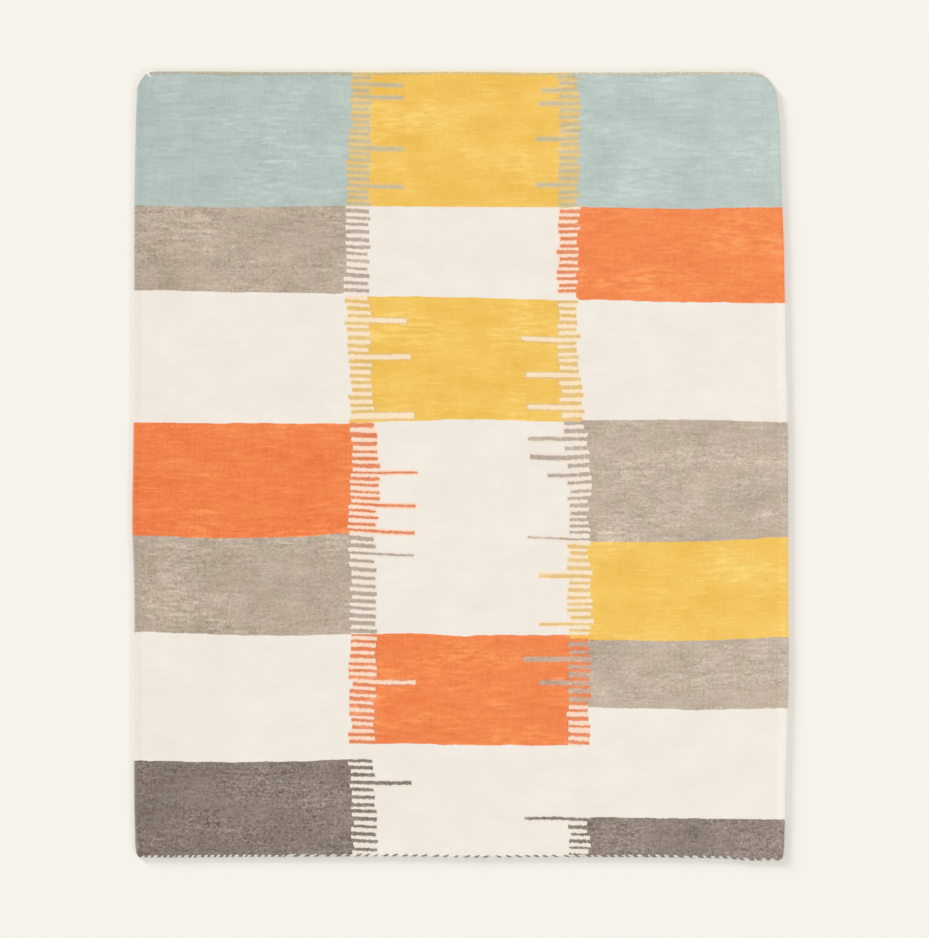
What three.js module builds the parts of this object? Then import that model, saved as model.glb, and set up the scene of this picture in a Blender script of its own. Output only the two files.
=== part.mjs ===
// A berber kilim: one flat piece of wool tapestry weave, oversewn along both ends with two yarns.
// X runs across the cloth from the left selvedge to the right one, Y along the warps, Z up.
// All sizes are millimetres, and the origin is on the floor under the middle of the kilim.
import * as THREE from "three";

// Whole kilim
const WIDTH = 1408;
const LENGTH = 1690;
const PIECE_GAP = 0.3;

// Cloth
const CLOTH_THICKNESS = 4;
const THICKNESS_DRIFT = 0.18;
const DRIFT_WAVE = { across: 310, up: 430 };
const DRIFT_FADE = 76;

// Selvedge: the outermost warps are bundled, so the edge is a low cord with a groove beside it.
// "inward" is the distance from the edge, "height" the height above the floor.
const SELVEDGE = [
  { inward: 0.0, height: 1.9 },
  { inward: 0.9, height: 3.8 },
  { inward: 3.6, height: 4.9 },
  { inward: 6.8, height: 4.6 },
  { inward: 9.6, height: 3.5 },
  { inward: 12.6, height: 4.0 },
];
const SELVEDGE_BASE_INWARD = 1.0;

// How far each selvedge is drawn in from the widest line, by the height "up" from the bottom end
const SIDES = [
  { up: 0, left: 7, right: 10 },
  { up: 120, left: 5, right: 8 },
  { up: 290, left: 4, right: 4 },
  { up: 400, left: 4, right: 0 },
  { up: 555, left: 6, right: 2 },
  { up: 640, left: 3, right: 2 },
  { up: 730, left: 0, right: 2 },
  { up: 900, left: 3, right: 2 },
  { up: 1110, left: 4, right: 7 },
  { up: 1280, left: 5, right: 10 },
  { up: 1370, left: 5, right: 11 },
  { up: 1420, left: 5, right: 16 },
  { up: 1580, left: 8, right: 19 },
  { up: 1630, left: 10, right: 23 },
  { up: 1690, left: 10, right: 23 },
];

// How far each end falls short of the longest line, by the distance "across" from the left
const ENDS = [
  { across: 0, bottom: 3.5, top: 1 },
  { across: 134, bottom: 3.5, top: 0.5 },
  { across: 200, bottom: 5, top: 1 },
  { across: 275, bottom: 5, top: 2 },
  { across: 520, bottom: 6, top: 2 },
  { across: 600, bottom: 6, top: 1.5 },
  { across: 650, bottom: 4.8, top: 1 },
  { across: 760, bottom: 3.3, top: 1 },
  { across: 860, bottom: 4.6, top: 3 },
  { across: 1090, bottom: 4.5, top: 2.5 },
  { across: 1180, bottom: 3.2, top: 1 },
  { across: 1270, bottom: 2.3, top: 1.5 },
  { across: 1320, bottom: 0, top: 2 },
  { across: 1408, bottom: 0, top: 2 },
];

// Corners, rounded where the end stitches draw the cloth in
const CORNERS = {
  bottomLeft: { across: 12, up: 14 },
  bottomRight: { across: 8, up: 16 },
  topLeft: { across: 38, up: 46 },
  topRight: { across: 56, up: 70 },
};

// End stitches: a raised row of slanted stitches in two yarns, thinning out at the corners
const STITCH_ROW_WIDTH = 7;
const STITCH_ROW_END_WIDTH = 2.2;
const STITCH_ROW_TAPER = 34;
const STITCHES_PER_END = 140;
const STITCH_STEPS = 2;
const STITCH_UNEVENNESS = 0.22;
const UNEVENNESS_TURN = 1.9;
const LEAST_STEP = 0.8;

// Section of the row of stitches. "inward" is a share of its width, from the outline to the cloth.
// Over a stitch's crown the point is higher by "rise", and between two crowns it is drawn in by
// "scallop", a share of the width. "lag" is the share of the slant that the point has taken.
const STITCH_SECTION = [
  { inward: 1.0, height: 0.0, rise: 0.0, scallop: 0.0, lag: 0.0 },
  { inward: 0.16, height: 0.0, rise: 0.0, scallop: 0.14, lag: 0.0 },
  { inward: 0.0, height: 1.8, rise: 0.0, scallop: 0.18, lag: 0.0 },
  { inward: 0.38, height: 4.0, rise: 1.1, scallop: 0.0, lag: 0.5 },
  { inward: 1.0, height: 3.8, rise: 0.8, scallop: 0.0, lag: 1.0 },
];

// A stitch leans half a stitch over the row's width, one way left of the turn and the other way right
// of it. The turn is given by shares of the kilim's width.
const SLANT = 0.5;
const SLANT_TURN = { from: 0.52, to: 0.56 };

// Stations of the cloth's grid, measured in from the edges
const GRID_FROM_SIDE = [17, 23, 30, 38, 48, 65, 90];
const GRID_FROM_END = [0, 3, 6, 10, 16, 24, 35, 50, 75];
const GRID_STEP = 65;

const WOOL = {
  cloth: { color: 0xefe7da, roughness: 0.95 },
  topYarn: { color: 0xcdbf9a, roughness: 0.92 },
  bottomYarn: { color: 0x9c9188, roughness: 0.92 },
};

const { clamp, lerp, smoothstep } = THREE.MathUtils;
const ARC_SHARE = 1 - Math.SQRT1_2;

// A value from a table of rows, eased between the two rows on each side of "at"
function fromTable(table, key, at, name) {
  const last = table.length - 1;
  if (at <= table[0][key]) return table[0][name];
  if (at >= table[last][key]) return table[last][name];
  const next = table.findIndex((row) => row[key] > at);
  const low = table[next - 1];
  const high = table[next];
  return lerp(low[name], high[name], smoothstep(at, low[key], high[key]));
}

// How far an elliptic corner draws an edge in, by the distance to where the two edges would meet
function arcInset(distance, alongRadius, inRadius) {
  const reach = clamp(1 - distance / alongRadius, 0, 1);
  return inRadius * (1 - Math.sqrt(1 - reach * reach));
}

const sideLine = (side, up) => {
  const inset = fromTable(SIDES, "up", up, side);
  return side === "left" ? inset : WIDTH - inset;
};

const endLine = (end, across) => {
  const inset = fromTable(ENDS, "across", across, end);
  return end === "bottom" ? inset : LENGTH - inset;
};

const cornerOf = (side, end) => CORNERS[end + (side === "left" ? "Left" : "Right")];

// A point of the kilim's outline on one side, from the middle of one corner's arc to the next
function sidePoint(side, share) {
  const toEdge = side === "left" ? 0 : WIDTH;
  const inward = side === "left" ? 1 : -1;
  const low = cornerOf(side, "bottom");
  const high = cornerOf(side, "top");
  const bottom = endLine("bottom", toEdge);
  const top = endLine("top", toEdge);
  const up = lerp(bottom + ARC_SHARE * low.up, top - ARC_SHARE * high.up, share);
  const inset =
    arcInset(up - bottom, low.up, low.across) + arcInset(top - up, high.up, high.across);
  return new THREE.Vector2(sideLine(side, up) + inward * inset, up);
}

// A point of the kilim's outline on one end, from the middle of one corner's arc to the next
function endPoint(end, share) {
  const toEdge = end === "bottom" ? 0 : LENGTH;
  const inward = end === "bottom" ? 1 : -1;
  const low = cornerOf("left", end);
  const high = cornerOf("right", end);
  const left = sideLine("left", toEdge);
  const right = sideLine("right", toEdge);
  const across = lerp(left + ARC_SHARE * low.across, right - ARC_SHARE * high.across, share);
  const inset =
    arcInset(across - left, low.across, low.up) + arcInset(right - across, high.across, high.up);
  return new THREE.Vector2(across, endLine(end, across) + inward * inset);
}

const MIDDLE = new THREE.Vector2(WIDTH / 2, LENGTH / 2);
const SLOPE_STEP = 1e-6;

// A point set in from an outline curve, at a right angle to it
function insetPoint(curve, share, distance) {
  const before = curve(Math.max(0, share - SLOPE_STEP));
  const after = curve(Math.min(1, share + SLOPE_STEP));
  const along = after.sub(before).normalize();
  const normal = new THREE.Vector2(-along.y, along.x);
  const point = curve(share);
  const inwardWay = Math.sign(normal.dot(MIDDLE.clone().sub(point)));
  return point.addScaledVector(normal, inwardWay * distance);
}

// Width of the row of end stitches, which thins out towards both corners
function stitchRowWidth(share) {
  const fromCorner = Math.min(share, 1 - share) * WIDTH;
  const full = smoothstep(fromCorner, 0, STITCH_ROW_TAPER);
  return lerp(STITCH_ROW_END_WIDTH, STITCH_ROW_WIDTH, full);
}

// The lines that lie side by side at an end: the outline, the inner face of the row of stitches,
// and the edge of the cloth
function endLines(end, share) {
  const curve = (at) => endPoint(end, at);
  const width = stitchRowWidth(share);
  return {
    share,
    outline: curve(share),
    inner: insetPoint(curve, share, width),
    cloth: insetPoint(curve, share, width + PIECE_GAP),
  };
}

const clothEndPoint = (end, share) => endLines(end, share).cloth;

// The cloth's own edge at a side: the outline itself, stepped in a little where the stitches end
function clothSidePoint(side, share) {
  const fromCorner = Math.min(share, 1 - share) * LENGTH;
  const stepIn = STITCH_ROW_END_WIDTH + PIECE_GAP;
  const inset = stepIn * (1 - smoothstep(fromCorner, 0, STITCH_ROW_TAPER));
  return insetPoint((at) => sidePoint(side, at), share, inset);
}

// A point inside the cloth, blended from its four edges so that the grid follows all of them
function clothPoint(u, v) {
  const bottom = clothEndPoint("bottom", u);
  const top = clothEndPoint("top", u);
  const left = clothSidePoint("left", v);
  const right = clothSidePoint("right", v);
  const corners = [
    [clothEndPoint("bottom", 0), (1 - u) * (1 - v)],
    [clothEndPoint("bottom", 1), u * (1 - v)],
    [clothEndPoint("top", 0), (1 - u) * v],
    [clothEndPoint("top", 1), u * v],
  ];
  const point = new THREE.Vector2();
  point.addScaledVector(bottom, 1 - v).addScaledVector(top, v);
  point.addScaledVector(left, 1 - u).addScaledVector(right, u);
  for (const [corner, weight] of corners) point.addScaledVector(corner, -weight);
  return point;
}

// Height of the cloth's upper face: its thickness drifts a little, as beaten handspun weft does
function clothHeight(across, up, inward) {
  const innerEdge = SELVEDGE.at(-1).inward;
  if (inward < innerEdge) return fromTable(SELVEDGE, "inward", inward, "height");
  const turnAcross = (2 * Math.PI * across) / DRIFT_WAVE.across;
  const turnUp = (2 * Math.PI * up) / DRIFT_WAVE.up;
  const fade = smoothstep(inward, innerEdge, DRIFT_FADE);
  return CLOTH_THICKNESS + THICKNESS_DRIFT * fade * Math.sin(turnAcross) * Math.cos(turnUp);
}

// Stations from one edge to the other: close together at both edges, evenly stepped between
function stations(size, nearEdges, step) {
  const inner = size - 2 * nearEdges.at(-1);
  const steps = Math.round(inner / step);
  const first = nearEdges.at(-1);
  const between = Array.from({ length: steps + 1 }, (_, i) => lerp(first, size - first, i / steps));
  const low = nearEdges.slice(0, -1);
  const high = low.map((distance) => size - distance).reverse();
  return [...low, ...between, ...high];
}

// A closed solid from two grids of points with the same rows and columns, an upper and a lower one
function slabGeometry(upper, lower) {
  const rows = upper.length;
  const columns = upper[0].length;
  const points = [...upper.flat(), ...lower.flat()];
  const top = (row, column) => row * columns + column;
  const base = (row, column) => rows * columns + top(row, column);
  const triangles = [];
  const quad = (a, b, c, d) => triangles.push(a, b, c, a, c, d);
  for (let row = 1; row < rows; row += 1) {
    const low = row - 1;
    for (let column = 1; column < columns; column += 1) {
      const left = column - 1;
      quad(top(low, left), top(low, column), top(row, column), top(row, left));
      quad(base(low, left), base(row, left), base(row, column), base(low, column));
    }
    const end = columns - 1;
    quad(base(low, 0), top(low, 0), top(row, 0), base(row, 0));
    quad(base(low, end), base(row, end), top(row, end), top(low, end));
  }
  for (let column = 1; column < columns; column += 1) {
    const left = column - 1;
    const end = rows - 1;
    quad(base(0, left), base(0, column), top(0, column), top(0, left));
    quad(base(end, left), top(end, left), top(end, column), base(end, column));
  }
  return meshGeometry(points, triangles);
}

function meshGeometry(points, triangles) {
  const geometry = new THREE.BufferGeometry();
  const numbers = points.flatMap((point) => [point.x, point.y, point.z]);
  geometry.setAttribute("position", new THREE.Float32BufferAttribute(numbers, 3));
  geometry.setIndex(triangles);
  geometry.computeVertexNormals();
  return geometry;
}

// The cloth's stations, left to right and bottom to top
const SIDE_STATIONS = [...SELVEDGE.map((row) => row.inward), ...GRID_FROM_SIDE];
const ACROSS = stations(WIDTH, SIDE_STATIONS, GRID_STEP);
const UP = stations(LENGTH, GRID_FROM_END, GRID_STEP);

// The woven cloth with its two selvedges, flat underneath
function clothGeometry() {
  const upper = [];
  const lower = [];
  for (const height of UP) {
    const upperRow = [];
    const lowerRow = [];
    for (const distance of ACROSS) {
      const inward = Math.min(distance, WIDTH - distance);
      const foot = clamp(distance, SELVEDGE_BASE_INWARD, WIDTH - SELVEDGE_BASE_INWARD);
      const top = clothPoint(distance / WIDTH, height / LENGTH);
      const base = clothPoint(foot / WIDTH, height / LENGTH);
      upperRow.push(new THREE.Vector3(top.x, top.y, clothHeight(distance, height, inward)));
      lowerRow.push(new THREE.Vector3(base.x, base.y, 0));
    }
    upper.push(upperRow);
    lower.push(lowerRow);
  }
  return slabGeometry(upper, lower);
}

// Swell of a stitch from 0 between two stitches to 1 at its crown
const swell = (stitches) => Math.abs(Math.sin(Math.PI * stitches));

// The lines at an end, straight between the cloth's stations, so that cloth and stitches stay parallel
function straightEndLines(knots, share) {
  const next = Math.max(1, knots.findIndex((knot) => knot.share >= share));
  const low = knots[next - 1];
  const high = knots[next];
  const part = (share - low.share) / (high.share - low.share);
  return {
    outline: low.outline.clone().lerp(high.outline, part),
    inner: low.inner.clone().lerp(high.inner, part),
  };
}

// Where the sections of the row stand: at the cloth's stations, and at each stitch's crown and foot,
// but for those that a station is next to
function sectionPlaces() {
  const steps = STITCHES_PER_END * STITCH_STEPS;
  const knots = ACROSS.map((distance) => distance / WIDTH);
  const places = knots.map((share) => ({ share, stitches: share * STITCHES_PER_END }));
  for (let step = 1; step < steps; step += 1) {
    const share = (step + STITCH_UNEVENNESS * Math.sin(UNEVENNESS_TURN * step)) / steps;
    const clear = knots.every((knot) => Math.abs(knot - share) * WIDTH > LEAST_STEP);
    if (clear) places.push({ share, stitches: step / STITCH_STEPS });
  }
  return places.sort((a, b) => a.share - b.share);
}

// The row of slanted stitches along one end: its section changes from stitch to stitch
function stitchRowGeometry(end) {
  const knots = ACROSS.map((distance) => endLines(end, distance / WIDTH));
  const rings = [];
  for (const { share, stitches } of sectionPlaces()) {
    const { outline, inner } = straightEndLines(knots, share);
    const size = stitchRowWidth(share) / STITCH_ROW_WIDTH;
    const slant = SLANT * (1 - 2 * smoothstep(share, SLANT_TURN.from, SLANT_TURN.to));
    const section = STITCH_SECTION.map(({ inward, height, rise, scallop, lag }) => ({
      inward: inward + scallop * (1 - swell(stitches)),
      height: height + rise * size * swell(stitches + lag * slant),
    }));
    rings.push(
      section.map((point) => {
        const place = outline.clone().lerp(inner, point.inward);
        return new THREE.Vector3(place.x, place.y, point.height);
      }),
    );
  }
  return sweptGeometry(rings, end === "bottom");
}

// A closed solid through a row of sections, with a flat cap at each end of the row
function sweptGeometry(rings, reversed) {
  const size = rings[0].length;
  const last = rings.length - 1;
  const triangles = [];
  const triangle = (a, b, c) => (reversed ? triangles.push(a, c, b) : triangles.push(a, b, c));
  for (let ring = 0; ring < last; ring += 1) {
    for (let side = 0; side < size; side += 1) {
      const next = (side + 1) % size;
      const near = ring * size;
      const far = near + size;
      triangle(near + side, near + next, far + next);
      triangle(near + side, far + next, far + side);
    }
  }
  for (let side = 1; side < size - 1; side += 1) {
    triangle(0, side + 1, side);
    triangle(last * size, last * size + side, last * size + side + 1);
  }
  return meshGeometry(rings.flat(), triangles);
}

function piece(name, geometry, finish) {
  const mesh = new THREE.Mesh(geometry, new THREE.MeshStandardMaterial({ ...finish, metalness: 0 }));
  mesh.name = name;
  return mesh;
}

const kilim = new THREE.Group();
kilim.add(piece("cloth", clothGeometry(), WOOL.cloth));
kilim.add(piece("end_stitches_top", stitchRowGeometry("top"), WOOL.topYarn));
kilim.add(piece("end_stitches_bottom", stitchRowGeometry("bottom"), WOOL.bottomYarn));

// The origin goes to the floor under the middle of the finished outline
const reach = new THREE.Box3().setFromObject(kilim);
const middle = reach.getCenter(new THREE.Vector3());
kilim.position.set(-middle.x, -middle.y, -reach.min.z);

export default kilim;
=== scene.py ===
# %% [markdown]
# A berber kilim: one flat piece of wool tapestry weave, about 141 by 169 cm, with no pile and no
# fringe. Its colours aren't printed or sewn on. Each block is woven with its own yarn, and where two
# blocks meet, their yarns reach into each other like the teeth of two combs, so that no slit is left
# between them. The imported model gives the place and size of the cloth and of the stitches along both
# ends, and everything here is made around it, in metres: X across the cloth, Y along the warps, Z up
# from the floor.

import math
import random

import bpy
import numpy as np
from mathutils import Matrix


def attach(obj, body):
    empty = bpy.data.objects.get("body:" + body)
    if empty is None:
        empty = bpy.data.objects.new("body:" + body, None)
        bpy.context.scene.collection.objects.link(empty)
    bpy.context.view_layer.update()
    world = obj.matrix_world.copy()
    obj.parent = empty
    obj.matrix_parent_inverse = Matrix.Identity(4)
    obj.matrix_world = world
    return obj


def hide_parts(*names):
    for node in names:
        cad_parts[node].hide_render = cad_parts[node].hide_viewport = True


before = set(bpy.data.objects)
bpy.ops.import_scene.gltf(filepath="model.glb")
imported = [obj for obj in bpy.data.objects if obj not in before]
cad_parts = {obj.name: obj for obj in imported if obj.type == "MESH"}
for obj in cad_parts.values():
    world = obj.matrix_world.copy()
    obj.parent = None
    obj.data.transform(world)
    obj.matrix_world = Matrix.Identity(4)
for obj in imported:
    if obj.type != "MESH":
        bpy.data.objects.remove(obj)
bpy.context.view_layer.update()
MM = 0.001
WIDTH = 1408 * MM
LENGTH = 1690 * MM
print("nodes", sorted(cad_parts))

# %% [markdown]
# The photograph looks straight down on the kilim. A long lens, far above the floor, keeps both ends
# equally wide, as they are there. The height follows from the lens and from how many millimetres one
# pixel shows.

# %% Camera
PHOTO_PIXELS = (929, 938)
KILIM_MIDDLE_PIXEL = (460.35, 465.1)
PIXEL = 2.145 * MM
LENS = 100.0
SENSOR = 36.0

camera_place = (
    (PHOTO_PIXELS[0] / 2 - KILIM_MIDDLE_PIXEL[0]) * PIXEL,
    (KILIM_MIDDLE_PIXEL[1] - PHOTO_PIXELS[1] / 2) * PIXEL,
    PHOTO_PIXELS[1] * PIXEL * LENS / SENSOR,
)
bpy.ops.object.camera_add(location=camera_place, rotation=(0, 0, 0))
camera = bpy.context.object
camera.name = "camera_above"
camera.data.lens = LENS
camera.data.sensor_width = SENSOR
camera.data.clip_end = 100
bpy.context.scene.camera = camera
print("camera height", round(camera_place[2], 3), "m")

# %% [markdown]
# A product photographer lights such a rug from all around, so that the colours stay even. Two broad
# lamps stand low, one at the top left and a weaker one at the bottom right. Their share is small, but
# the wide soft shadow along the right and bottom edges and the narrow one along the others come from
# them. World and lamps together light a level white surface to exactly white, so the colours below are
# the colours that the picture shows.

# %% Light and floor
# Share of the light on the floor, height above the horizon, how wide the lamp looks, and where it
# stands, as the angle from the kilim's far end towards its left
LAMPS = {
    "lamp_top_left": {"share": 0.2, "elevation": 9.5, "angle": 12, "compass": 45},
    "lamp_bottom_right": {"share": 0.09, "elevation": 18, "angle": 16, "compass": 225},
}


def linear(hex_colour):
    """An sRGB colour such as F0E8DC as linear red, green, blue and alpha."""
    shares = [int(hex_colour[place:place + 2], 16) / 255 for place in (0, 2, 4)]
    return [s / 12.92 if s <= 0.04045 else ((s + 0.055) / 1.055) ** 2.4 for s in shares] + [1.0]


def add_node(tree, kind, inputs=(), **settings):
    """Adds a shader node, sets its settings and fills its inputs, which are listed in order or by name.
    Each input is a number, another node's socket, or another node, which stands for its first output."""
    node = tree.nodes.new("ShaderNode" + kind)
    for name, value in settings.items():
        setattr(node, name, value)
    for name, value in inputs.items() if isinstance(inputs, dict) else enumerate(inputs):
        if isinstance(value, bpy.types.Node):
            value = value.outputs[0]
        if isinstance(value, bpy.types.NodeSocket):
            tree.links.new(value, node.inputs[name])
        else:
            node.inputs[name].default_value = value
    return node


scene = bpy.context.scene
scene.view_settings.view_transform = "Standard"
scene.world = bpy.data.worlds.new("even_studio_light")
scene.world.use_nodes = True
background = scene.world.node_tree.nodes["Background"]
background.inputs["Color"].default_value = (1, 1, 1, 1)
background.inputs["Strength"].default_value = 1 - sum(row["share"] for row in LAMPS.values())

for name, row in LAMPS.items():
    elevation = math.radians(row["elevation"])
    turn = math.pi + math.radians(row["compass"])
    bpy.ops.object.light_add(type="SUN", rotation=(math.pi / 2 - elevation, 0, turn))
    lamp = bpy.context.object
    lamp.name = name
    lamp.data.angle = math.radians(row["angle"])
    lamp.data.energy = row["share"] * math.pi / math.sin(elevation)
    print(name, "energy", round(lamp.data.energy, 3))


def make_material(name):
    """A new material with a Principled shader, and the two as (material, shader)."""
    material = bpy.data.materials.new(name)
    material.use_nodes = True
    return material, material.node_tree.nodes["Principled BSDF"]


bpy.ops.mesh.primitive_plane_add(size=60, location=(0, 0, 0))
floor = bpy.context.object
floor.name = "floor"
floor_paint, shader = make_material("matte floor paint")
shader.inputs["Base Color"].default_value = linear("F7F3EB")
shader.inputs["Roughness"].default_value = 1.0
shader.inputs["Specular IOR Level"].default_value = 0.0
floor.data.materials.append(floor_paint)

# %% [markdown]
# A handwoven kilim is never quite square: its selvedges draw in where the weft was pulled tight, and its
# corners are rounded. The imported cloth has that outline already. Its upper rim along the sides lies at one
# known height, and only its end walls stand upright, so both can be picked out and kept as four lines.

# %% Outline of the cloth
CAD_RIM_HEIGHT = 1.9 * MM
CLOSE = 0.05 * MM
UPRIGHT = 0.02


def outline_of(node):
    """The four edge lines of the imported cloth, each as points sorted along it, in metres."""
    points = np.array([vertex.co for vertex in node.data.vertices])
    rim = points[np.abs(points[:, 2] - CAD_RIM_HEIGHT) < CLOSE]
    walls = [face for face in node.data.polygons if abs(face.normal.z) < UPRIGHT]
    ends = np.array([points[corner] for face in walls for corner in face.vertices])
    ends = ends[ends[:, 2] > CAD_RIM_HEIGHT - CLOSE]
    chosen = {
        "left": rim[rim[:, 0] < 0],
        "right": rim[rim[:, 0] > 0],
        "bottom": ends[ends[:, 1] < 0],
        "top": ends[ends[:, 1] > 0],
    }
    lines = {}
    for side, found in chosen.items():
        along = 1 if side in ("left", "right") else 0
        corners = np.unique(np.round(found[:, :2], 7), axis=0)
        lines[side] = corners[np.argsort(corners[:, along])]
    return lines


edges = outline_of(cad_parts["cloth"])
for side, line in edges.items():
    print(side, len(line), "points, from", line[0].round(4), "to", line[-1].round(4))

# %% [markdown]
# Along both ends the cloth runs on underneath the stitches, which wrap round its edge. The row of
# stitches is 7 mm wide and thins out towards the corners. These helpers give a point of an end line,
# the way out of the cloth there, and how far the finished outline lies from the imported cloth's edge.

# %% Lines along the ends
ROW_WIDTH = 7.3 * MM
ROW_WIDTH_AT_CORNER = 2.5 * MM
ROW_TAPER = 34 * MM
EDGE_UNDER_STITCHES = 1.2 * MM
CORNER_DROP = 3.0 * MM
CORNER_DROP_FROM = 1285 * MM
CORNER_DROP_FADE = 45 * MM


def ease(amount):
    """Smooth step from 0 to 1."""
    amount = np.clip(amount, 0, 1)
    return amount * amount * (3 - 2 * amount)


def end_line(end, share):
    """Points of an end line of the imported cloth, by their share of its width."""
    line = edges[end]
    x = line[0, 0] + share * (line[-1, 0] - line[0, 0])
    return np.stack([x, np.interp(x, line[:, 0], line[:, 1])], axis=-1)


def way_out(end, share, step=0.01):
    """The direction out of the cloth, at a right angle to its end line."""
    ahead = end_line(end, np.clip(share + step, 0, 1)) - end_line(end, np.clip(share - step, 0, 1))
    ahead /= np.linalg.norm(ahead, axis=-1, keepdims=True)
    turn = 1 if end == "bottom" else -1
    return turn * np.stack([ahead[..., 1], -ahead[..., 0]], axis=-1)


def row_width(share):
    """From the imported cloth's edge to the outline of the finished kilim."""
    from_corner = np.minimum(share, 1 - share) * WIDTH
    return ROW_WIDTH_AT_CORNER + (ROW_WIDTH - ROW_WIDTH_AT_CORNER) * ease(from_corner / ROW_TAPER)


def outline_beyond(end, share):
    """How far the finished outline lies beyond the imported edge; the bottom right corner sags a little."""
    drop = CORNER_DROP * ease((share * WIDTH - CORNER_DROP_FROM) / CORNER_DROP_FADE)
    return row_width(share) + (drop if end == "bottom" else 0)


print("bottom end at", end_line("bottom", 0.5).round(4), "with its way out", way_out("bottom", 0.5).round(3))

# %% [markdown]
# The cloth is weft-faced: about 655 warps hang side by side, and the wool packed over them hides them
# but leaves a rib over each. A grid with two columns to a rib can hold that at its real size. Its
# columns follow the warps and its rows the wefts, so the same grid later carries the woven pattern.
# Ribs run the whole length without a break, so a few dozen rows are enough, closer together where the
# ends round off.

# %% Grid of warps and wefts
THICKNESS = 4 * MM
WARPS = 655
WARP = WIDTH / WARPS
SELVEDGE_WARPS = 8
# Height of the cloth across the selvedge, whose outermost warps are bundled into a low cord: rows of
# how far inward and how high, in millimetres
SELVEDGE = [
    (0.0, 1.5), (0.05, 3.4), (0.1, 4.4), (0.16, 4.7), (0.26, 4.79), (0.4, 4.8), (1.3, 4.81), (2.6, 4.82),
    (5.0, 4.78), (8.0, 4.6), (11.5, 4.35), (16.0, 4.05),
]
# The same towards an end, where the cloth is rounded off under the stitches
END_ROUNDING = [(0.0, 1.6), (0.5, 3.0), (1.2, 3.7), (3.0, 3.95), (9.0, 4.0), (22.0, 4.0)]
ROWS_BETWEEN = 24


def mirrored(near, far, total):
    """Distances from 0 to total: the near ones, the far ones between, and the near ones again."""
    return np.array([*near, *far, *[total - distance for distance in reversed(near)]])


selvedge_inward = [inward * MM for inward, _ in SELVEDGE]
half_warps = np.arange(2 * SELVEDGE_WARPS + 1, 2 * (WARPS - SELVEDGE_WARPS)) * WARP / 2
across_stations = mirrored(selvedge_inward, half_warps, WIDTH)
end_inward = [inward * MM for inward, _ in END_ROUNDING]
inner_rows = np.linspace(end_inward[-1], LENGTH - end_inward[-1], ROWS_BETWEEN + 1)[1:-1]
up_stations = mirrored(end_inward, inner_rows, LENGTH)

bpy.ops.object.select_all(action="DESELECT")
bpy.ops.mesh.primitive_grid_add(
    x_subdivisions=len(across_stations) - 1,
    y_subdivisions=len(up_stations) - 1,
    size=1,
    location=(0, 0, 0),
)
cloth = bpy.context.object
cloth.name = "kilim_cloth"
thickness = cloth.modifiers.new("thickness", "SOLIDIFY")
thickness.thickness = THICKNESS
thickness.offset = -1
bpy.ops.object.modifier_apply(modifier=thickness.name)
print("grid", len(across_stations), "by", len(up_stations), "and", len(cloth.data.polygons), "faces")

# %% [markdown]
# Each point of the grid is then laid on the real outline. A point inside is blended from the four edge
# lines, which bends the rows and columns as gently as the wefts and warps of the real cloth bend. The
# height adds the selvedge cord, the rounded end, the ribs and a slow drift of the thickness, as in
# handspun wool.

# %% Lay the grid on the outline
RIB_DEPTH = 0.16 * MM
DRIFT = 0.18 * MM
DRIFT_WAVE = (310 * MM, 430 * MM)
DRIFT_FADE = 76 * MM
END_SHIFT_FADE = 60 * MM
BASE_SET_IN = 1.0 * MM
BASE_CLEARANCE = 0.05 * MM


def side_line(side, share):
    """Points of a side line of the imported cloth, by their share of its length."""
    line = edges[side]
    y = line[0, 1] + share * (line[-1, 1] - line[0, 1])
    return np.stack([np.interp(y, line[:, 1], line[:, 0]), y], axis=-1)


def lay_flat(across, up):
    """Where the points at these distances across and up lie on the floor."""
    u = (across / WIDTH)[:, None]
    v = (up / LENGTH)[:, None]
    bottom, top = end_line("bottom", u[:, 0]), end_line("top", u[:, 0])
    left, right = side_line("left", v[:, 0]), side_line("right", v[:, 0])
    blend = bottom * (1 - v) + top * v + left * (1 - u) + right * u
    blend -= edges["bottom"][0] * (1 - u) * (1 - v) + edges["bottom"][-1] * u * (1 - v)
    blend -= edges["top"][0] * (1 - u) * v + edges["top"][-1] * u * v
    for end, from_end in (("bottom", v * LENGTH), ("top", (1 - v) * LENGTH)):
        run_on = outline_beyond(end, u) - EDGE_UNDER_STITCHES
        blend += way_out(end, u[:, 0]) * run_on * ease(1 - from_end / END_SHIFT_FADE)
    return blend


def rib(across):
    """From 0 in the groove between two warps to 1 over the middle of a warp, and 1 in the selvedges."""
    inner = np.minimum(across, WIDTH - across) - SELVEDGE_WARPS * WARP
    crest = np.abs(np.mod(across / WARP, 1) - 0.5) < 0.25
    return np.where(inner > WARP / 4, crest.astype(float), 1.0)


def top_height(across, up):
    """Height of the upper face above the floor."""
    inward = np.minimum(across, WIDTH - across)
    from_end = np.minimum(up, LENGTH - up)
    body = np.interp(inward / MM, *zip(*SELVEDGE)) * MM
    ending = np.interp(from_end / MM, *zip(*END_ROUNDING))
    wave = np.sin(2 * math.pi * across / DRIFT_WAVE[0]) * np.cos(2 * math.pi * up / DRIFT_WAVE[1])
    drift = DRIFT * ease((inward - SELVEDGE_WARPS * WARP) / DRIFT_FADE) * wave
    full = body + drift - RIB_DEPTH * (1 - rib(across))
    return np.minimum(full, ending * MM + (full - THICKNESS) * ending * MM / THICKNESS)


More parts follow.
